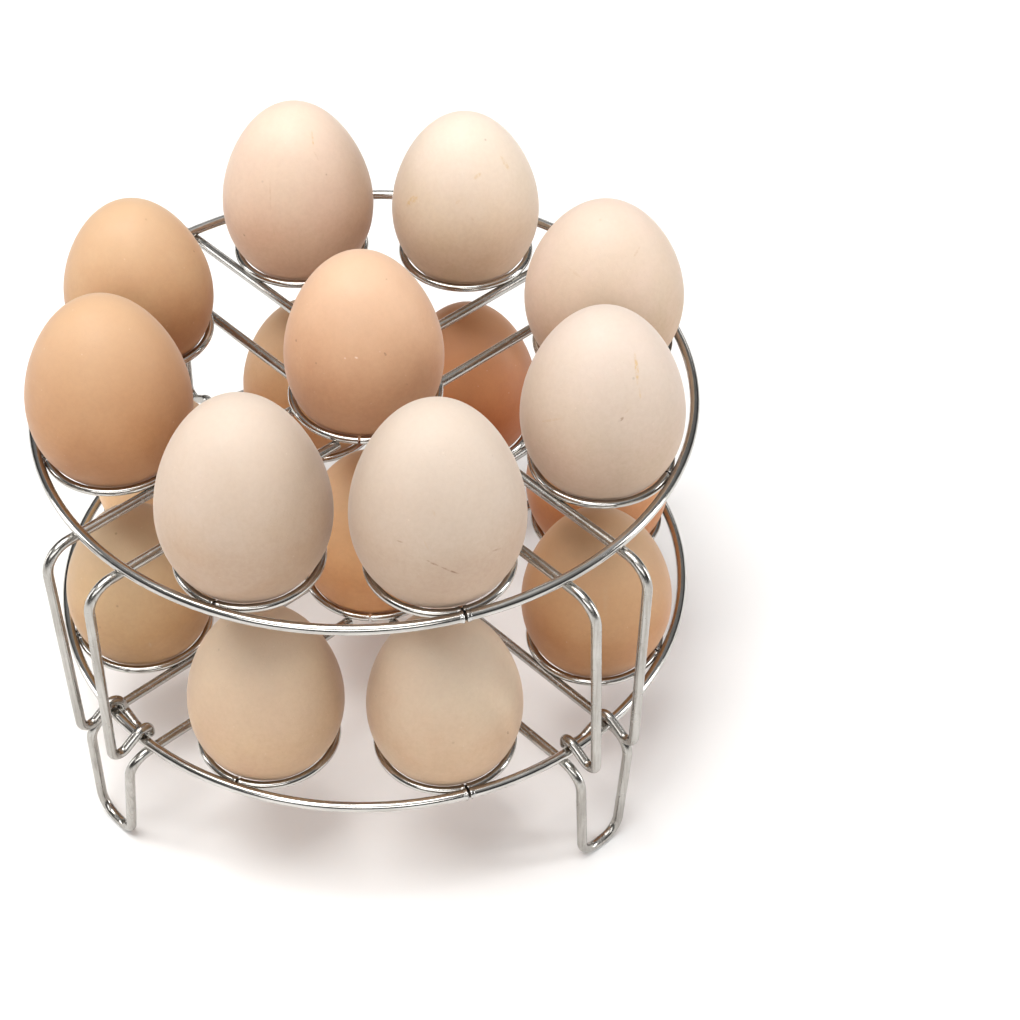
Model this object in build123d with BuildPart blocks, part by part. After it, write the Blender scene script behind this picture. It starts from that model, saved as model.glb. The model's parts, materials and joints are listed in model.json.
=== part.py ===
"""Two-tier wire rack for steaming eggs, with an egg standing in every ring.

Millimetres, +Z up, -Y is the front. The origin is on the floor at the middle of the rack.
"""

from build123d import *
import os
from math import asin, cos, degrees, radians, sin, sqrt

# Wires
rim_wire = 3.0
leg_wire = 3.0
ring_wire = 2.4
weld_bite = 0.1  # how far two wires sink into each other where they are spot welded
joint_gap = 0.8  # slit where the two ends of a hoop meet

# Rack plan
rim_diameter = 195.0  # over the wire
egg_ring_diameter = 42.0  # over the wire
centre_ring_diameter = 45.4  # over the wire
ring_spread = 20.5  # angle of an egg ring either side of the middle of its quarter
ring_drop = 0.4  # egg rings sit this far below the rim, on top of the bars
bar_spacing = 20.0  # between the two bars of one leg wire
bar_end_depth = 0.2  # the bars stop this far outside the middle of the centre ring's wire

# Rack heights
lower_rim_height = 44.5  # middle of the lower rim's wire above the floor
tier_rise = 73.5  # from the lower rim to the upper rim

# Feet of the lower rack, a rounded U
foot_reach = 102.8  # leg axis from the middle of the rack, at the top of the leg
foot_lean = 1.0  # the foot leans inwards by this much
foot_width = 14.4
foot_bend = 6.4
lower_shoulder_bend = 7.0
foot_sway = {"front_left": -5.0}  # this foot is bent a little to one side

# Clip feet of the upper rack
clip_reach = 106.5
upper_shoulder_bend = 8.0
clip_spacing = 15.0  # between the two hooks of one leg
clip_heel = -2.5  # heights from here on are measured from the middle of the lower rim's wire
clip_heel_bend = 3.2
clip_peak = 5.85
clip_peak_reach = 93.4
clip_peak_bend = 2.9
clip_inside_reach = 92.4
clip_inside_spacing = 13.0
clip_inside = -1.0
clip_inside_bend = 2.4
clip_dip = -4.2
clip_dip_bend = 5.0

# Eggs: width and length
egg_sizes = {
    "small": (44.0, 56.0),
    "medium": (45.5, 58.5),
    "broad": (47.0, 58.0),
    "large": (46.5, 60.5),
    "extra_large": (47.5, 63.0),
}
egg_clearance = 0.3  # between a shell and its ring
blunt_flank_extra = 3.25  # lower flank radius beyond half the egg's width
blunt_end_step = 5.5  # lower flank radius beyond the blunt end's radius
tip_ratio = 0.64  # radius of the small end against half the egg's width

# Ring places round the rack: name and angle
ring_angles = {}
for quarter, middle, first, second in (
    ("front", -90.0, "left", "right"),
    ("right", 0.0, "front", "back"),
    ("back", 90.0, "right", "left"),
    ("left", 180.0, "back", "front"),
):
    ring_angles[f"{quarter}_{first}"] = middle - ring_spread
    ring_angles[f"{quarter}_{second}"] = middle + ring_spread

leg_angles = {"front_left": -135.0, "front_right": -45.0, "back_right": 45.0, "back_left": 135.0}

upper_eggs = {
    "front_left": "extra_large",
    "front_right": "extra_large",
    "right_front": "large",
    "right_back": "broad",
    "back_right": "medium",
    "back_left": "large",
    "left_back": "small",
    "left_front": "large",
    "centre": "large",
}
lower_eggs = {
    "front_left": "medium",
    "front_right": "medium",
    "right_front": "medium",
    "right_back": "medium",
    "back_right": "medium",
    "back_left": "medium",
    "left_back": "small",
    "left_front": "small",
    "centre": "medium",
}

# Worked out from the above
rim_radius = (rim_diameter - rim_wire) / 2
egg_ring_radius = (egg_ring_diameter - ring_wire) / 2
centre_ring_radius = (centre_ring_diameter - ring_wire) / 2
bar_drop = (rim_wire + leg_wire) / 2 - weld_bite
ring_to_rim = sqrt(((rim_wire + ring_wire) / 2 - weld_bite) ** 2 - ring_drop**2)
ring_reach = rim_radius - ring_to_rim - egg_ring_radius
bar_half = bar_spacing / 2
bar_end = sqrt(centre_ring_radius**2 - bar_half**2) + bar_end_depth
rack_heights = {"lower": lower_rim_height, "upper": lower_rim_height + tier_rise}


def ring_centre(place):
    """Plan position of a ring's middle."""
    if place == "centre":
        return 0.0, 0.0
    angle = radians(ring_angles[place])
    return ring_reach * cos(angle), ring_reach * sin(angle)


def save(sub_part, name):
    sub_part.part.label = name
    export_step(sub_part.part, f"parts/{name}.step")


def hoop(middle, radius, wire, joint_angle):
    """A wire bent into a circle, with a slit where its ends meet."""
    slit = degrees(joint_gap / radius)
    start = radians(joint_angle + slit / 2)
    section = Plane(
        origin=middle, x_dir=(cos(start), sin(start), 0), z_dir=(sin(start), -cos(start), 0)
    )
    with BuildPart() as bent:
        with BuildSketch(section):
            with Locations((radius, 0)):
                Circle(wire / 2)
        revolve(axis=Axis(middle, (0, 0, 1)), revolution_arc=360 - slit)
    return bent


def bent_leg(rim_height, angle, half_path, middle_path, bends, sway=0.0):
    """One leg wire, mirrored about its own middle but for the sway of its foot.

    Paths are (reach from the rack's middle, offset to the side, height above the rim).
    """
    bar, foot = half_path[:2], half_path[2:] + middle_path
    foot += [(reach, -side, height) for reach, side, height in reversed(half_path[2:])]
    foot = [(reach, side + sway, height) for reach, side, height in foot]
    points = bar + foot + [(reach, -side, height) for reach, side, height in reversed(bar)]
    radii = bends + list(reversed(bends[: len(half_path) - 1]))
    with BuildPart() as leg:
        with BuildLine(Plane.XY.offset(rim_height).rotated((0, 0, angle))) as path:
            FilletPolyline(*points, radius=radii)
        with BuildSketch(Plane(origin=path.line @ 0, z_dir=path.line % 0)):
            Circle(leg_wire / 2)
        sweep(path=path.line)
    return leg


def egg(place, size, ring_radius, ring_height):
    """A hen's egg standing blunt end down, its shell just clear of the ring."""
    width, length = egg_sizes[size]
    half = width / 2
    low_flank = half + blunt_flank_extra
    blunt = low_flank - blunt_end_step
    blunt_centre = sqrt(blunt_end_step**2 - blunt_flank_extra**2)
    blunt_turn = degrees(asin(blunt_flank_extra / blunt_end_step))
    above = length - blunt_centre - blunt
    tip = half * tip_ratio
    tip_centre = above - tip
    high_flank = (tip_centre**2 + half**2 - tip**2) / (2 * (half - tip))
    tip_turn = degrees(asin((high_flank - half) / (high_flank - tip)))
    seat_radius = low_flank + ring_wire / 2 + egg_clearance
    seat = sqrt(seat_radius**2 - (ring_radius + blunt_flank_extra) ** 2)
    x, y = ring_centre(place)
    with BuildPart() as shell:
        with BuildSketch(Plane.XZ.offset(-y).shift_origin((x, y, ring_height + seat))):
            with BuildLine():
                CenterArc((0, -blunt_centre), blunt, -90, blunt_turn)
                CenterArc((-blunt_flank_extra, 0), low_flank, blunt_turn - 90, 90 - blunt_turn)
                CenterArc((half - high_flank, 0), high_flank, 0, 90 - tip_turn)
                CenterArc((0, tip_centre), tip, 90 - tip_turn, tip_turn)
                Line((0, tip_centre + tip), (0, -blunt_centre - blunt))
            make_face()
        revolve(axis=Axis((x, y, 0), (0, 0, 1)))
    return shell


os.makedirs("parts", exist_ok=True)

# Rims and rings, the same on both racks
for rack, height in rack_heights.items():
    save(hoop((0, 0, height), rim_radius, rim_wire, ring_angles["front_right"]), f"{rack}_rim")
    centre = (0, 0, height - ring_drop)
    save(hoop(centre, centre_ring_radius, ring_wire, -90), f"{rack}_centre_ring")
    for place, angle in ring_angles.items():
        middle = (*ring_centre(place), height - ring_drop)
        save(hoop(middle, egg_ring_radius, ring_wire, angle), f"{rack}_egg_ring_{place}")

# Legs of the lower rack, with U feet
foot_height = leg_wire / 2 - lower_rim_height
foot_side = [
    (bar_end, bar_half, -bar_drop),
    (foot_reach, bar_half, -bar_drop),
    (foot_reach - foot_lean, foot_width / 2, foot_height),
]
for place, angle in leg_angles.items():
    foot_leg = bent_leg(
        lower_rim_height, angle, foot_side, [], [lower_shoulder_bend, foot_bend],
        foot_sway.get(place, 0.0),
    )
    save(foot_leg, f"lower_leg_{place}")

# Legs of the upper rack, with hooks that clip over the lower rim
clip_side = [
    (bar_end, bar_half, -bar_drop),
    (clip_reach, bar_half, -bar_drop),
    (clip_reach, clip_spacing / 2, clip_heel - tier_rise),
    (clip_peak_reach, clip_spacing / 2, clip_peak - tier_rise),
    (clip_inside_reach, clip_inside_spacing / 2, clip_inside - tier_rise),
]
clip_middle = [(clip_inside_reach, 0, clip_dip - tier_rise)]
clip_bends = [
    upper_shoulder_bend, clip_heel_bend, clip_peak_bend, clip_inside_bend, clip_dip_bend
]
for place, angle in leg_angles.items():
    clip_leg = bent_leg(rack_heights["upper"], angle, clip_side, clip_middle, clip_bends)
    save(clip_leg, f"upper_leg_{place}")

# Eggs
for rack, eggs in (("lower", lower_eggs), ("upper", upper_eggs)):
    ring_height = rack_heights[rack] - ring_drop
    for place, size in eggs.items():
        ring_radius = centre_ring_radius if place == "centre" else egg_ring_radius
        save(egg(place, size, ring_radius, ring_height), f"{rack}_egg_{place}")
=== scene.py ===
"""Looks for the two-tier wire egg rack: drawn steel wire, butt joints, welds and hen's eggs."""

import json
import math
import random
from functools import partial

import bmesh
import bpy
from mathutils import Euler, Matrix, Vector, noise


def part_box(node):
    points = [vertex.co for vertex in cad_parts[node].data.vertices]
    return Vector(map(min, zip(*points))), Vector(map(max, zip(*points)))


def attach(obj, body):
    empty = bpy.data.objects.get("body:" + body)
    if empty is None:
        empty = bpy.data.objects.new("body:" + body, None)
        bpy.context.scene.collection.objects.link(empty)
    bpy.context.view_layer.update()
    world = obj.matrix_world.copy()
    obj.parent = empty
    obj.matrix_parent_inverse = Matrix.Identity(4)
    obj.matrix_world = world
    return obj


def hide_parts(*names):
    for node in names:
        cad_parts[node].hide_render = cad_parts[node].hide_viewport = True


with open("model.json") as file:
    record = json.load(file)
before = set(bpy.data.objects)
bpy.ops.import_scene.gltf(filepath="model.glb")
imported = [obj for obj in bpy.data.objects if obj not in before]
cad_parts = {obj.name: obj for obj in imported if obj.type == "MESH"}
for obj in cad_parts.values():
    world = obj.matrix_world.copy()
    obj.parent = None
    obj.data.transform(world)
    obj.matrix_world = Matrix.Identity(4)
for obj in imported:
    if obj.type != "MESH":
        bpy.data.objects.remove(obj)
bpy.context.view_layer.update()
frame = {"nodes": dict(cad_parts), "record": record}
nodes = frame["nodes"]

RACKS = ("lower", "upper")
PLACES = (
    "front_left", "front_right", "right_front", "right_back",
    "back_right", "back_left", "left_back", "left_front",
)
LEG_ANGLES = (45, 135, 225, 315)

# Metres; wires by radius
RIM_WIRE = 0.0015
RING_WIRE = 0.0012
BAR_HALF = 0.010  # from a leg's middle to each of its two bars
JOINT_SLIT = 0.0008


# ---------------------------------------------------------------- camera

rim_low, rim_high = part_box("upper_rim")
rim_centre = (rim_low + rim_high) / 2
CAMERA_AZIMUTH, CAMERA_ELEVATION = 6.87, 40.76  # degrees, seen from the upper rim's middle
CAMERA_DISTANCE = 0.6695
LOOK_DOWN, LOOK_LEFT = 43.87, 2.1  # degrees
LENS = 80.65

azimuth, elevation = math.radians(CAMERA_AZIMUTH), math.radians(CAMERA_ELEVATION)
camera_data = bpy.data.cameras.new("camera")
camera_data.sensor_width = 36
camera_data.lens = LENS
camera_data.clip_start = 0.01
camera_data.clip_end = 50
camera = bpy.data.objects.new("camera", camera_data)
camera.location = rim_centre + CAMERA_DISTANCE * Vector((
    math.sin(azimuth) * math.cos(elevation),
    -math.cos(azimuth) * math.cos(elevation),
    math.sin(elevation),
))
camera.rotation_euler = Euler((math.radians(90 - LOOK_DOWN), 0, math.radians(LOOK_LEFT)))
bpy.context.scene.collection.objects.link(camera)
bpy.context.scene.camera = camera


# ---------------------------------------------------------------- material helpers

def new_material(name):
    made = bpy.data.materials.new(name)
    made.use_nodes = True
    made.node_tree.nodes.clear()
    shader = add(made, "ShaderNodeBsdfPrincipled")
    output = add(made, "ShaderNodeOutputMaterial")
    link(made, shader, "BSDF", output, "Surface")
    return made, shader


def add(owner, kind, **settings):
    """Adds a node to a material or world; settings name its sockets or its own properties."""
    node = owner.node_tree.nodes.new(kind)
    for key, value in settings.items():
        if key in node.inputs:
            node.inputs[key].default_value = value
        else:
            setattr(node, key, value)
    return node


def link(owner, source, output, target, socket):
    owner.node_tree.links.new(source.outputs[output], target.inputs[socket])


def ramp(owner, source, output, stops):
    """Colour ramp fed by one output; stops are (position, grey or colour)."""
    node = add(owner, "ShaderNodeValToRGB")
    elements = node.color_ramp.elements
    while len(elements) < len(stops):
        elements.new(0.5)
    for element, (position, value) in zip(elements, stops):
        element.position = position
        grey = isinstance(value, (int, float))
        element.color = (value, value, value, 1) if grey else (*value, 1)
    link(owner, source, output, node, "Fac")
    return node


def map_range(owner, source, output, given, wanted=(0, 1)):
    """Maps one output from the given range to the wanted one."""
    node = add(owner, "ShaderNodeMapRange")
    node.inputs["From Min"].default_value, node.inputs["From Max"].default_value = given
    node.inputs["To Min"].default_value, node.inputs["To Max"].default_value = wanted
    link(owner, source, output, node, "Value")
    return node


MIXED = 2  # a colour mix node's colour output


def mix(material, factor, base, other, mode="MIX"):
    """Mixes two colours; each argument is a (node, output) pair or a plain value."""
    node = add(material, "ShaderNodeMix", data_type="RGBA", blend_type=mode)
    for socket, value in zip((0, 6, 7), (factor, base, other)):
        if isinstance(value, tuple) and isinstance(value[0], bpy.types.Node):
            material.node_tree.links.new(value[0].outputs[value[1]], node.inputs[socket])
        elif socket == 0:
            node.inputs[0].default_value = value
        else:
            node.inputs[socket].default_value = (*value, 1)
    return node


def texture_space(material, offset=(0, 0, 0)):
    """Object coordinates moved by an offset, as a (node, output) pair."""
    place = add(material, "ShaderNodeTexCoord")
    moved = add(material, "ShaderNodeMapping", Location=offset)
    link(material, place, "Object", moved, "Vector")
    return moved, "Vector"


def noise_texture(material, space, scale, detail, roughness):
    node = add(material, "ShaderNodeTexNoise", Scale=scale, Detail=detail, Roughness=roughness)
    link(material, *space, node, "Vector")
    return node


def cells(material, space, scale):
    node = add(material, "ShaderNodeTexVoronoi", Scale=scale)
    link(material, *space, node, "Vector")
    return node


def vary_roughness(material, shader, texture, smooth, rough):
    spread = map_range(material, texture, "Fac", (0.3, 0.7), (smooth, rough))
    link(material, spread, "Result", shader, "Roughness")


# ---------------------------------------------------------------- steel

SLOW = 0.04  # how much of the way along a wire its die lines count as change


def along_hoop(made, centre):
    """Texture space that hardly changes along a hoop: radius, height and a little of the turn."""
    place = add(made, "ShaderNodeTexCoord")
    flat = add(
        made, "ShaderNodeMapping", Location=(-centre.x, -centre.y, 0), Scale=(1, 1, 0)
    )
    link(made, place, "Object", flat, "Vector")
    reach = add(made, "ShaderNodeVectorMath", operation="LENGTH")
    link(made, flat, "Vector", reach, 0)
    split = add(made, "ShaderNodeSeparateXYZ")
    link(made, place, "Object", split, "Vector")
    slow = add(made, "ShaderNodeMath", operation="MULTIPLY")
    link(made, split, "X", slow, 0)
    slow.inputs[1].default_value = SLOW
    joined = add(made, "ShaderNodeCombineXYZ")
    link(made, reach, "Value", joined, "X")
    link(made, split, "Z", joined, "Y")
    link(made, slow, 0, joined, "Z")
    return joined, "Vector"


def along_leg(made, turn_down):
    """Texture space that hardly changes along a leg's bars, nor down its upright stretches."""
    place = add(made, "ShaderNodeTexCoord")
    turned = add(made, "ShaderNodeMapping", Rotation=(0, 0, math.radians(LEG_ANGLES[0])))
    link(made, place, "Object", turned, "Vector")
    both = add(made, "ShaderNodeVectorMath", operation="ABSOLUTE")
    link(made, turned, "Vector", both, 0)
    split = add(made, "ShaderNodeSeparateXYZ")
    link(made, both, "Vector", split, "Vector")
    across = add(made, "ShaderNodeMath", operation="MINIMUM")
    link(made, split, "X", across, 0)
    link(made, split, "Y", across, 1)
    reach = add(made, "ShaderNodeMath", operation="MAXIMUM")
    link(made, split, "X", reach, 0)
    link(made, split, "Y", reach, 1)
    bar = add(made, "ShaderNodeCombineXYZ")
    link(made, across, 0, bar, "X")
    link(made, split, "Z", bar, "Y")
    upright = add(made, "ShaderNodeMapping", Scale=(1, 1, SLOW))
    link(made, place, "Object", upright, "Vector")
    past = map_range(made, reach, 0, (turn_down - 0.003, turn_down + 0.001))
    chosen = add(made, "ShaderNodeMix", data_type="VECTOR")
    link(made, past, "Result", chosen, 0)
    link(made, bar, "Vector", chosen, 4)
    link(made, upright, "Vector", chosen, 5)
    return chosen, 1


def steel(name, bright, dull, smooth, rough, seed, run=None):
    """Stainless wire: slow changes of tone and polish, die lines along the run whose darkening of
    the colour is partly painted reflection, fine pitting.
    """
    made, shader = new_material(name)
    shader.inputs["Metallic"].default_value = 1.0
    space = texture_space(made, offset=(seed, seed * 0.7, seed * 1.3))
    cloud = noise_texture(made, space, 70.0, 4.0, 0.6)
    tone = ramp(made, cloud, "Fac", [(0.32, dull), (0.68, bright)])
    lines = noise_texture(made, run(made) if run else space, 1500.0, 3.0, 0.6)
    # die lines in the colour: partly real drawing marks, partly painted reflection, dark streaks
    # standing in for the dark surroundings the wire reflects
    die_and_reflection_streaks = ramp(made, lines, "Fac", [(0.36, (0.62, 0.60, 0.57)), (0.58, (1.0, 1.0, 1.0))])
    colour = mix(made, 0.6, (tone, "Color"), (die_and_reflection_streaks, "Color"), "MULTIPLY")
    link(made, colour, MIXED, shader, "Base Color")
    vary_roughness(made, shader, noise_texture(made, space, 420.0, 5.0, 0.65), smooth, rough)
    marks = noise_texture(made, space, 2600.0, 3.0, 0.7)
    pitted = add(made, "ShaderNodeBump", Strength=0.10, Distance=0.00004)
    link(made, marks, "Fac", pitted, "Height")
    drawn = add(made, "ShaderNodeBump", Strength=0.16, Distance=0.00005)
    link(made, lines, "Fac", drawn, "Height")
    link(made, pitted, "Normal", drawn, "Normal")
    link(made, drawn, "Normal", shader, "Normal")
    return made


# Bright tone, dull tone, lowest and highest roughness
STEEL_TONES = {
    "rim_wire": ((0.62, 0.605, 0.58), (0.49, 0.475, 0.45), 0.11, 0.20),
    "ring_wire": ((0.61, 0.595, 0.57), (0.48, 0.465, 0.44), 0.11, 0.22),
    # painted shade: the leg wire is the same steel with its tones set darker, standing in for the
    # greyer floor the legs reflect
    "leg_wire": ((0.50, 0.485, 0.46), (0.39, 0.375, 0.35), 0.18, 0.30),
}

joint_steel = steel("steel_joint", (0.70, 0.69, 0.67), (0.50, 0.49, 0.47), 0.16, 0.30, 5.0)
scale_steel = steel("steel_scale", (0.10, 0.08, 0.07), (0.03, 0.025, 0.02), 0.45, 0.70, 6.0)
weld_steel = steel("steel_weld", (0.60, 0.57, 0.53), (0.34, 0.31, 0.28), 0.24, 0.42, 4.0)

slot_of = {sub["node"]: sub["material_slot"] for sub in frame["record"]["subparts"]}
leg_turn = (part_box("lower_rim")[1].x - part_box("lower_rim")[0].x) / 2
steels = {}
for seed, (name, node) in enumerate(sorted(nodes.items()), start=10):
    slot = slot_of[name]
    if slot not in STEEL_TONES:
        continue
    if slot == "leg_wire":
        key, run = "leg", partial(along_leg, turn_down=leg_turn)
    else:
        low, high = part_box(name)
        middle = (low + high) / 2
        if "egg_ring" not in name:
            middle.x = middle.y = 0
        key = f"{slot}_{middle.x:.3f}_{middle.y:.3f}"
        run = partial(along_hoop, centre=middle)
    if key not in steels:
        steels[key] = steel(f"steel_{name}", *STEEL_TONES[slot], seed * 0.31, run)
    for material_slot in node.material_slots:
        material_slot.material = steels[key]


# ---------------------------------------------------------------- mesh helpers

UP = Vector((0, 0, 1))
TUBE_SIDES = 28


def piece(name, mesh, material, body):
    """Smooth-shaded object in the frame, riding one body and dressed by one material slot."""
    for face in mesh.polygons:
        face.use_smooth = True
    made = bpy.data.objects.new(name, mesh)
    made.data.materials.append(material)
    bpy.context.scene.collection.objects.link(made)
    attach(made, body)
    return made


def skin(bm, rings):
    """Joins a row of vertex rings of equal count with four-sided faces."""
    for before, after in zip(rings, rings[1:]):
        for k in range(len(before)):
            n = (k + 1) % len(before)
            bm.faces.new((before[k], before[n], after[n], after[k]))


def cap(bm, ring, tip, flip):
    """Closes a ring of vertices with a fan of triangles to one tip."""
    for k in range(len(ring)):
        face = (ring[k], ring[(k + 1) % len(ring)], tip)
        bm.faces.new(tuple(reversed(face)) if flip else face)


def arc_tube(bm, middle, radius, stations):
    """Closed tube along a flat circle; stations are (turn round the circle, tube radius)."""
    rings = []
    for around, thickness in stations:
        out = Vector((math.cos(around), math.sin(around), 0))
        centre = middle + radius * out
        ring = []
        for k in range(TUBE_SIDES):
            turn = 2 * math.pi * k / TUBE_SIDES
            ring.append(bm.verts.new(
                centre + thickness * (math.cos(turn) * out + math.sin(turn) * UP)
            ))
        rings.append(ring)
    skin(bm, rings)
    bm.faces.new(list(reversed(rings[0])))
    bm.faces.new(rings[-1])


def finish_mesh(bm, name):
    bmesh.ops.recalc_face_normals(bm, faces=bm.faces)
    mesh = bpy.data.meshes.new(name)
    bm.to_mesh(mesh)
    bm.free()
    return mesh


# ---------------------------------------------------------------- butt joints and welds

COLLAR_LENGTH = 0.0013
COLLAR_START = 0.40  # of the slit, from its middle
RIM_SWELL = 0.22  # parts of the wire's radius
RING_SWELL = 0.11  # less, because a shell stands 0.3 mm from the ring
SECOND_END = 0.6  # swell of the second wire end against the first
SKIN = 1.004  # collars start just outside the wire

# Swell of a squeezed wire end: place along the collar, part of the full swell
COLLAR_RISE = (
    (0.0, -0.16), (0.05, 0.35), (0.14, 0.8), (0.28, 1.0), (0.42, 0.95),
    (0.56, 0.66), (0.70, 0.34), (0.84, 0.12), (1.0, 0.01),
)

# Weld beads: half length, half breadth, half height
SIDE_BEAD = (0.0010, 0.00040, 0.00055)  # beside a ring's contact with the rim
BAR_BEAD = (0.0013, 0.00045, 0.00040)  # ring on bar
RIM_BAR_BEAD = (0.0009, 0.0010, 0.00042)
CENTRE_BAR_BEAD = (0.0008, 0.0009, 0.00042)
SIDE_BEAD_OFFSET = 0.0011
BAR_BEAD_OFFSET = 0.0004
BEAD_ROWS, BEAD_COLUMNS = 9, 16
BEAD_LUMP, BEAD_LUMP_SCALE = 0.18, 2.3


def butt_joint(bm, middle, radius, wire, angle, most):
    """The two squeezed wire ends that face each other across a hoop's slit."""
    for side, swell in ((-1, most), (1, most * SECOND_END)):
        stations = []
        for along, rise in COLLAR_RISE:
            away = JOINT_SLIT * COLLAR_START + along * COLLAR_LENGTH
            thickness = wire * (SKIN + (swell * rise if rise > 0 else rise))
            stations.append((angle + side * away / radius, thickness))
        arc_tube(bm, middle, radius, stations)


def joint_core(bm, middle, radius, wire, angle):
    """Dark weld scale that bridges the slit, a little below the wire's skin."""
    arc_tube(bm, middle, radius, [
        (angle + along * JOINT_SLIT / radius, wire * (0.74 + 0.28 * along * along))
        for along in (-0.5, -0.25, 0.0, 0.25, 0.5)
    ])


def weld_bead(bm, point, along, across, size, seed):
    """A small uneven nugget of melted metal where two wires touch."""
    up = along.cross(across).normalized()
    length, breadth, height = size
    rings = []
    for i in range(1, BEAD_ROWS):
        polar = math.pi * i / BEAD_ROWS
        ring = []
        for k in range(BEAD_COLUMNS):
            turn = 2 * math.pi * k / BEAD_COLUMNS
            ball = Vector((
                math.cos(polar), math.sin(polar) * math.cos(turn), math.sin(polar) * math.sin(turn)
            ))
            lump = 1 + BEAD_LUMP * noise.noise(ball * BEAD_LUMP_SCALE + Vector((seed, 0, 0)))
            ring.append(bm.verts.new(point + lump * (
                length * ball.x * along + breadth * ball.y * across + height * ball.z * up
            )))
        rings.append(ring)
    skin(bm, rings)
    cap(bm, rings[0], bm.verts.new(point + length * along), True)
    cap(bm, rings[-1], bm.verts.new(point - length * along), False)


def floor_directions(degrees):
    """Unit vectors along and across a direction in the floor plane."""
    turn = math.radians(degrees)
    radial = Vector((math.cos(turn), math.sin(turn), 0))
    return radial, UP.cross(radial)


for rack in RACKS:
    rim_low, rim_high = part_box(f"{rack}_rim")
    rim_middle = (rim_low + rim_high) / 2
    rim_middle.x = rim_middle.y = 0
    rim_radius = (rim_high.x - rim_low.x) / 2 - RIM_WIRE
    joints = bmesh.new()
    cores = bmesh.new()
    beads = bmesh.new()
    seed = 0
    centre_low, centre_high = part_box(f"{rack}_centre_ring")
    centre_radius = (centre_high.x - centre_low.x) / 2 - RING_WIRE
    ring_height = (centre_low.z + centre_high.z) / 2
    for place in PLACES:
        low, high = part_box(f"{rack}_egg_ring_{place}")
        middle = (low + high) / 2
        radius = max(high.x - low.x, high.y - low.y) / 2 - RING_WIRE
        outward = Vector((middle.x, middle.y, 0)).normalized()
        angle = math.atan2(outward.y, outward.x)
        butt_joint(joints, middle, radius, RING_WIRE, angle, RING_SWELL)
        joint_core(cores, middle, radius, RING_WIRE, angle)
        if place == "front_right":
            butt_joint(joints, rim_middle, rim_radius, RIM_WIRE, angle, RIM_SWELL)
            joint_core(cores, rim_middle, rim_radius, RIM_WIRE, angle)
        contact = middle + outward * (radius + RING_WIRE)
        for side in (-1, 1):
            seed += 1
            sideways = outward.cross(UP) * side
            beside = contact + sideways * SIDE_BEAD_OFFSET
            weld_bead(beads, beside, sideways, outward, SIDE_BEAD, seed)
        # where the ring lies on the nearer bar
        leg = min(LEG_ANGLES, key=lambda a: abs((math.degrees(angle) - a + 180) % 360 - 180))
        radial, across = floor_directions(leg)
        aside = math.copysign(BAR_HALF + BAR_BEAD_OFFSET, middle.dot(across))
        touch = radial * middle.dot(radial) + across * aside
        touch.z = middle.z - RING_WIRE
        seed += 1
        weld_bead(beads, touch, radial, across, BAR_BEAD, seed)
    for leg in LEG_ANGLES:
        radial, across = floor_directions(leg)
        for bar in (-BAR_HALF, BAR_HALF):
            for hoop_radius, height, size in (
                (rim_radius, rim_middle.z - RIM_WIRE, RIM_BAR_BEAD),
                (centre_radius, ring_height - RING_WIRE, CENTRE_BAR_BEAD),
            ):
                seed += 1
                point = radial * math.sqrt(hoop_radius**2 - bar**2) + across * bar
                point.z = height
                weld_bead(beads, point, radial, across, size, seed)
    for what, mesh, material in (
        ("joint_scale", cores, scale_steel),
        ("butt_joints", joints, joint_steel),
        ("weld_beads", beads, weld_steel),
    ):
        name = f"{rack}_{what}"
        piece(name, finish_mesh(mesh, name), material, f"{rack}_rack")


# ---------------------------------------------------------------- eggs

# Radius along the egg, as a cubic in height from -1 at the blunt end to 1 at the tip, times
# sqrt(1 - height squared). Longer eggs are more pointed.
EGG_SHAPE = (0.9899, -0.1506, -0.0301, 0.0536)
EGG_STRETCH = (-0.083, -0.6425, 0.432, 0.66)
EGG_ASPECT = 1.30  # length over width at which EGG_SHAPE alone holds


def egg_profile(half_width, half_length):
    """Radius of an egg as a function of height along it, from -1 to 1."""
    stretch = half_length / half_width - EGG_ASPECT
    shape = [a + b * stretch for a, b in zip(EGG_SHAPE, EGG_STRETCH)]

    def radius(height):
        cubic = sum(c * height**power for power, c in enumerate(shape))
        return half_width * math.sqrt(1 - height * height) * cubic

    return radius


EGG_ROWS, EGG_COLUMNS = 84, 112
EGG_BEND = 0.00018  # how far the middle leans to one side
EGG_OVAL = 0.003  # part of the radius by which an egg isn't round


def egg_mesh(name, low, high, seed):
    middle = (low + high) / 2
    half_width, half_length = (high.x - low.x) / 2, (high.z - low.z) / 2
    profile = egg_profile(half_width, half_length)
    dice = random.Random(seed)
    lean = dice.uniform(0, 2 * math.pi)
    oval = dice.uniform(0, 2 * math.pi)
    bm = bmesh.new()
    rings = []
    for i in range(1, EGG_ROWS):
        height = -math.cos(math.pi * i / EGG_ROWS)
        radius = profile(height)
        bend = EGG_BEND * (height * height - 1)
        ring = []
        for k in range(EGG_COLUMNS):
            turn = 2 * math.pi * k / EGG_COLUMNS
            wide = radius * (1 - EGG_OVAL + EGG_OVAL * math.cos(2 * turn + oval))
            ring.append(bm.verts.new((
                middle.x + wide * math.cos(turn) + bend * math.cos(lean),
                middle.y + wide * math.sin(turn) + bend * math.sin(lean),
                middle.z + half_length * height,
            )))
        rings.append(ring)
    skin(bm, rings)
    cap(bm, rings[0], bm.verts.new((middle.x, middle.y, low.z)), True)
    cap(bm, rings[-1], bm.verts.new((middle.x, middle.y, high.z)), False)
    return finish_mesh(bm, name)


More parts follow.
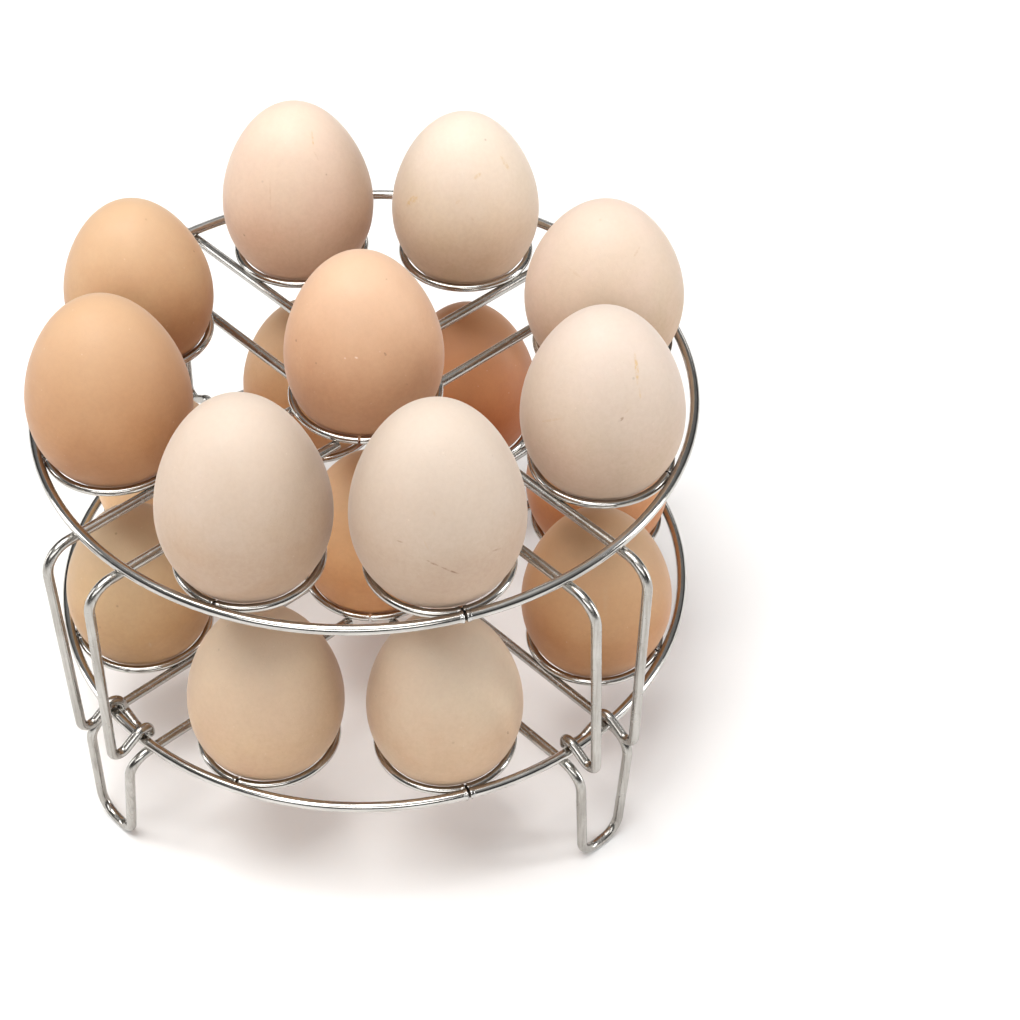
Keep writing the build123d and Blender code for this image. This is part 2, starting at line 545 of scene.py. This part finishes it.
def eggshell(name, light, deep, seed, spots, streaks):
    """Hen's eggshell: soft mottling, fine grain, pores, small specks and a few streaks, with
    painted shade towards the bottom and a painted highlight towards the top.
    """
    made, shader = new_material(name)
    space = texture_space(made, offset=(seed * 0.37, seed * 0.53, seed * 0.71))
    cloud = noise_texture(made, space, 48.0, 3.0, 0.55)
    blotch = ramp(made, cloud, "Fac", [(0.30, deep), (0.72, light)])
    grain = noise_texture(made, space, 640.0, 4.0, 0.7)
    grain_tone = ramp(made, grain, "Fac", [(0.35, (0.88, 0.84, 0.81)), (0.62, (1.0, 1.0, 1.0))])
    colour = mix(made, 0.55, (blotch, "Color"), (grain_tone, "Color"), "MULTIPLY")

    # painted shade and painted highlight: the lower, blunt end is darkened and warmed to stand in
    # for shading, and the upper tip is paled to stand in for a broad soft highlight
    place = add(made, "ShaderNodeTexCoord")
    split = add(made, "ShaderNodeSeparateXYZ")
    link(made, place, "Generated", split, "Vector")
    painted_bottom_shade = ramp(made, split, "Z", [(0.0, (0.97, 0.78, 0.62)), (0.65, (1.0, 1.0, 1.0))])
    colour = mix(made, 0.8, (colour, MIXED), (painted_bottom_shade, "Color"), "MULTIPLY")
    # painted highlight: the top of the shell is mixed towards a pale tint of its light tone
    painted_top_highlight = ramp(made, split, "Z", [(0.48, 0.0), (0.72, 0.24), (0.95, 0.55)])
    highlight_tint = tuple(min(0.95, c**0.58) for c in light)
    colour = mix(made, (painted_top_highlight, "Color"), (colour, MIXED), highlight_tint)

    # brown specks, in some of the cells only
    specks = cells(made, space, 150.0)
    dot = ramp(made, specks, "Distance", [(0.035, 1.0), (0.075, 0.0)])
    chosen = ramp(made, specks, "Color", [(0.62, 0.0), (0.66, 1.0)])
    dots = mix(made, 1.0, (dot, "Color"), (chosen, "Color"), "MULTIPLY")
    strength = add(made, "ShaderNodeMath", operation="MULTIPLY")
    link(made, dots, MIXED, strength, 0)
    strength.inputs[1].default_value = spots
    colour = mix(made, (strength, 0), (colour, MIXED), tuple(0.45 * c for c in deep))

    # pale calcium specks
    pale = cells(made, texture_space(made, offset=(seed + 3.1, seed + 1.7, 0.4)), 210.0)
    pale_dot = ramp(made, pale, "Distance", [(0.03, 0.12), (0.06, 0.0)])
    colour = mix(made, (pale_dot, "Color"), (colour, MIXED), (0.98, 0.88, 0.76))

    # streaks and smudges, each an ellipsoid laid on the shell and broken up by noise
    broken = noise_texture(made, space, 900.0, 3.0, 0.6)
    flakes = ramp(made, broken, "Fac", [(0.40, 0.15), (0.60, 1.0)])
    for point, turned, half_size, strength, tone in streaks:
        laid = add(
            made, "ShaderNodeMapping", vector_type="TEXTURE",
            Location=point, Rotation=turned, Scale=half_size,
        )
        link(made, place, "Object", laid, "Vector")
        ball = add(made, "ShaderNodeTexGradient", gradient_type="SPHERICAL")
        link(made, laid, "Vector", ball, "Vector")
        soft = ramp(made, ball, "Fac", [(0.0, 0.0), (0.45, strength)])
        worn = mix(made, 1.0, (soft, "Color"), (flakes, "Color"), "MULTIPLY")
        colour = mix(made, (worn, MIXED), (colour, MIXED), tone)
    link(made, colour, MIXED, shader, "Base Color")

    # pores and grain
    pit = ramp(made, cells(made, space, 1100.0), "Distance", [(0.05, 0.0), (0.28, 1.0)])
    height = mix(made, 0.5, (pit, "Color"), (grain, "Color"))
    bump = add(made, "ShaderNodeBump", Strength=0.5, Distance=0.0001)
    link(made, height, MIXED, bump, "Height")
    link(made, bump, "Normal", shader, "Normal")
    vary_roughness(made, shader, noise_texture(made, space, 160.0, 3.0, 0.6), 0.56, 0.72)
    for socket, value in (
        ("Subsurface Weight", 0.12),
        ("Subsurface Radius", (1.0, 0.55, 0.35)),
        ("Subsurface Scale", 0.0025),
        ("Specular IOR Level", 0.5),
        ("Sheen Weight", 0.22),
        ("Sheen Roughness", 0.35),
    ):
        shader.inputs[socket].default_value = value
    return made


# Light tone, deep tone, strength of the dark specks
EGG_LOOKS = {
    "upper_egg_front_left": ((0.52, 0.40, 0.31), (0.49, 0.35, 0.24), 0.22),
    "upper_egg_front_right": ((0.52, 0.41, 0.32), (0.48, 0.36, 0.27), 0.30),
    "upper_egg_right_front": ((0.57, 0.44, 0.36), (0.52, 0.41, 0.31), 0.30),
    "upper_egg_right_back": ((0.60, 0.44, 0.34), (0.53, 0.40, 0.27), 0.25),
    "upper_egg_back_right": ((0.66, 0.53, 0.42), (0.60, 0.47, 0.34), 0.45),
    "upper_egg_back_left": ((0.66, 0.49, 0.36), (0.60, 0.41, 0.30), 0.25),
    "upper_egg_left_back": ((0.53, 0.31, 0.15), (0.47, 0.23, 0.10), 0.20),
    "upper_egg_left_front": ((0.49, 0.26, 0.12), (0.43, 0.21, 0.09), 0.25),
    "upper_egg_centre": ((0.60, 0.35, 0.20), (0.53, 0.28, 0.15), 0.60),
    "lower_egg_front_left": ((0.60, 0.43, 0.27), (0.55, 0.37, 0.24), 0.25),
    "lower_egg_front_right": ((0.59, 0.45, 0.31), (0.55, 0.37, 0.24), 0.25),
    "lower_egg_right_front": ((0.50, 0.27, 0.12), (0.45, 0.22, 0.09), 0.55),
    "lower_egg_right_back": ((0.60, 0.28, 0.11), (0.50, 0.20, 0.07), 0.20),
    "lower_egg_back_right": ((0.49, 0.19, 0.065), (0.39, 0.12, 0.035), 0.30),
    "lower_egg_back_left": ((0.60, 0.34, 0.16), (0.54, 0.27, 0.11), 0.25),
    "lower_egg_left_back": ((0.84, 0.59, 0.34), (0.77, 0.50, 0.27), 0.25),
    "lower_egg_left_front": ((0.54, 0.34, 0.17), (0.47, 0.28, 0.13), 0.40),
    "lower_egg_centre": ((0.70, 0.38, 0.17), (0.61, 0.30, 0.12), 0.25),
}

# Streaks seen on single eggs: bearing round the egg and height along it (-1 to 1), turn from
# upright, half length and half width in millimetres, strength, colour
DIRT, RUB = (0.22, 0.12, 0.06), (0.50, 0.33, 0.20)
RUST, PALE = (0.55, 0.33, 0.08), (0.95, 0.86, 0.74)
STREAKS = {
    "upper_egg_front_left": (
        (-54, -0.16, 165, 0.9, 0.45, 0.5, RUB),
    ),
    "upper_egg_front_right": (
        (-111, 0.16, 92, 1.7, 0.3, 0.45, DIRT),
        (-90, 0.00, 121, 2.1, 0.35, 0.6, DIRT),
        (-79, -0.09, 124, 3.2, 0.32, 0.8, DIRT),
        (-89, 0.45, 163, 1.3, 0.45, 0.3, RUB),
        (-46, -0.03, 105, 1.9, 0.35, 0.45, DIRT),
        (-94, 0.17, 156, 1.9, 0.3, 0.3, RUB),
    ),
    "upper_egg_right_front": (
        (-54, 0.72, -164, 4.8, 0.7, 0.55, RUST),
        (-58, 0.53, -174, 2.2, 0.4, 0.3, RUST),
        (-131, 0.23, 55, 5.5, 0.45, 0.4, RUB),
        (-77, 0.36, 54, 1.2, 0.5, 0.55, DIRT),
        (-71, 0.43, 50, 1.4, 0.3, 0.3, RUB),
    ),
    "upper_egg_right_back": (
        (-113, 0.97, 0, 0.7, 0.5, 0.5, RUB),
        (-51, 0.75, 60, 2.4, 0.4, 0.45, RUB),
        (-121, 0.59, 106, 2.9, 0.45, 0.35, RUB),
    ),
    "upper_egg_back_right": (
        (-138, 0.30, 36, 3.6, 1.3, 0.5, RUST),
        (-72, 0.65, 59, 1.6, 0.7, 0.4, RUST),
        (-33, 0.66, 173, 3.1, 0.9, 0.4, RUST),
        (-154, 0.01, 74, 2.5, 0.8, 0.35, RUB),
        (-81, 0.26, 146, 1.0, 0.5, 0.35, RUB),
        (-93, 0.43, 43, 1.1, 0.5, 0.3, RUST),
    ),
    "upper_egg_back_left": (
        (-50, 0.84, -158, 2.8, 0.35, 0.55, RUST),
        (-55, 0.71, 174, 2.1, 0.3, 0.3, RUB),
        (-106, 0.39, 174, 5.6, 0.3, 0.35, RUB),
        (-102, 0.02, 169, 2.9, 0.28, 0.3, RUB),
        (-94, -0.25, 156, 6.3, 0.25, 0.35, RUB),
        (-129, -0.12, 112, 0.5, 0.55, 0.8, DIRT),
        (-51, 0.54, 152, 0.4, 0.4, 0.6, DIRT),
    ),
    "upper_egg_left_back": (
        (-2, 0.46, 164, 0.5, 0.35, 0.7, DIRT),
    ),
    "upper_egg_centre": (
        (-89, 0.38, 104, 0.7, 0.35, 0.5, PALE),
        (-98, 0.37, 131, 0.35, 0.3, 0.35, PALE),
        (-66, 0.39, 147, 0.4, 0.3, 0.6, DIRT),
        (-53, 0.03, 149, 0.5, 0.4, 0.6, DIRT),
        (-122, 0.25, 113, 0.4, 0.35, 0.6, DIRT),
    ),
    "lower_egg_right_front": (
        (-82, 0.47, -178, 7.0, 0.9, 0.35, RUB),
        (-90, 0.39, 174, 3.5, 0.4, 0.35, DIRT),
    ),
    "lower_egg_left_front": (
        (-74, -0.18, 174, 1.4, 0.5, 0.6, RUB),
        (-129, 0.25, 138, 0.8, 0.4, 0.45, DIRT),
    ),
    "lower_egg_front_right": (
        (-34, -0.05, 152, 0.9, 0.45, 0.7, DIRT),
    ),
}


def laid_on(low, high, bearing, height):
    """Point on an egg's shell, and the sideways, upward and outward directions there."""
    middle = (low + high) / 2
    half_width, half_length = (high.x - low.x) / 2, (high.z - low.z) / 2
    shape = egg_profile(half_width, half_length)
    around = math.radians(bearing)
    step = 0.01

    def at(h):
        radius = shape(h)
        return middle + Vector((
            radius * math.cos(around), radius * math.sin(around), half_length * h
        ))

    up = (at(height + step) - at(height - step)).normalized()
    side = Vector((-math.sin(around), math.cos(around), 0))
    return at(height), side, up, side.cross(up)


STREAK_DEPTH = 0.0025

for seed, (name, (light, deep, spots)) in enumerate(EGG_LOOKS.items(), start=1):
    low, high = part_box(name)
    streaks = []
    for bearing, height, turn, half_length, half_width, strength, tone in STREAKS.get(name, ()):
        point, side, up, out = laid_on(low, high, bearing, height)
        tilt = math.radians(turn)
        along = math.cos(tilt) * up + math.sin(tilt) * side
        basis = Matrix((along, out.cross(along), out)).transposed()
        size = (half_length / 1000, half_width / 1000, STREAK_DEPTH)
        streaks.append((point, basis.to_euler(), size, strength, tone))
    shell = piece(
        f"{name}_shell", egg_mesh(f"{name}_shell", low, high, seed),
        eggshell(f"shell_{name}", light, deep, seed, spots, streaks),
        "egg_" + name.replace("_egg", ""),
    )
    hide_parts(name)


# ---------------------------------------------------------------- stage and light

FLOOR = 9.0  # half the floor's width

floor_finish, floor_shader = new_material("floor")
soft = noise_texture(floor_finish, texture_space(floor_finish), 3.0, 2.0, 0.5)
floor_tone = ramp(floor_finish, soft, "Fac", [(0.3, 0.90), (0.7, 0.93)])
link(floor_finish, floor_tone, "Color", floor_shader, "Base Color")
floor_shader.inputs["Roughness"].default_value = 0.9
floor_shader.inputs["Specular IOR Level"].default_value = 0.1

floor_mesh = bpy.data.meshes.new("floor")
floor_mesh.from_pydata(
    [(-FLOOR, -FLOOR, 0), (FLOOR, -FLOOR, 0), (FLOOR, FLOOR, 0), (-FLOOR, FLOOR, 0)],
    [], [(0, 1, 2, 3)],
)
floor = bpy.data.objects.new("floor", floor_mesh)
floor.data.materials.append(floor_finish)
bpy.context.scene.collection.objects.link(floor)

AIM = Vector((0, 0, 0.1))


def softbox(name, where, size, power, colour=(1, 1, 1)):
    data = bpy.data.lights.new(name, "AREA")
    data.shape = "RECTANGLE"
    data.size, data.size_y = size
    data.energy = power
    data.color = colour
    lamp = bpy.data.objects.new(name, data)
    lamp.location = where
    lamp.rotation_mode = "QUATERNION"
    lamp.rotation_quaternion = (Vector(where) - AIM).to_track_quat("Z", "Y")
    bpy.context.scene.collection.objects.link(lamp)


softbox("key", (-0.22, -0.16, 1.3), (0.8, 0.8), 16.5, (1.0, 0.985, 0.96))
softbox("front", (-0.1, -1.15, 0.85), (1.3, 0.35), 5.5)
softbox("left", (-1.3, 0.1, 0.4), (0.3, 0.9), 4.2)
softbox("right", (1.3, 0.1, 0.4), (0.3, 0.9), 8.0)
softbox("back", (0.1, 1.4, 0.6), (1.4, 0.3), 3.0)

world = bpy.data.worlds.new("studio")
world.use_nodes = True
world.node_tree.nodes.clear()
bpy.context.scene.world = world
direction = add(world, "ShaderNodeTexCoord")
split = add(world, "ShaderNodeSeparateXYZ")
link(world, direction, "Generated", split, "Vector")
height = map_range(world, split, "Z", (-1, 1))
room = ramp(world, height, "Result", [
    (0.0, 0.30), (0.50, 0.30),  # below the horizon
    (0.53, 0.25), (0.58, 0.03), (0.66, 0.04),  # dark low walls, for contrast in the steel
    (0.86, 0.35), (1.0, 1.1),  # ceiling
])
backdrop = add(world, "ShaderNodeBackground", Strength=0.8)
link(world, room, "Color", backdrop, "Color")
output = add(world, "ShaderNodeOutputWorld")
link(world, backdrop, "Background", output, "Surface")

bpy.context.scene.view_settings.view_transform = "Standard"
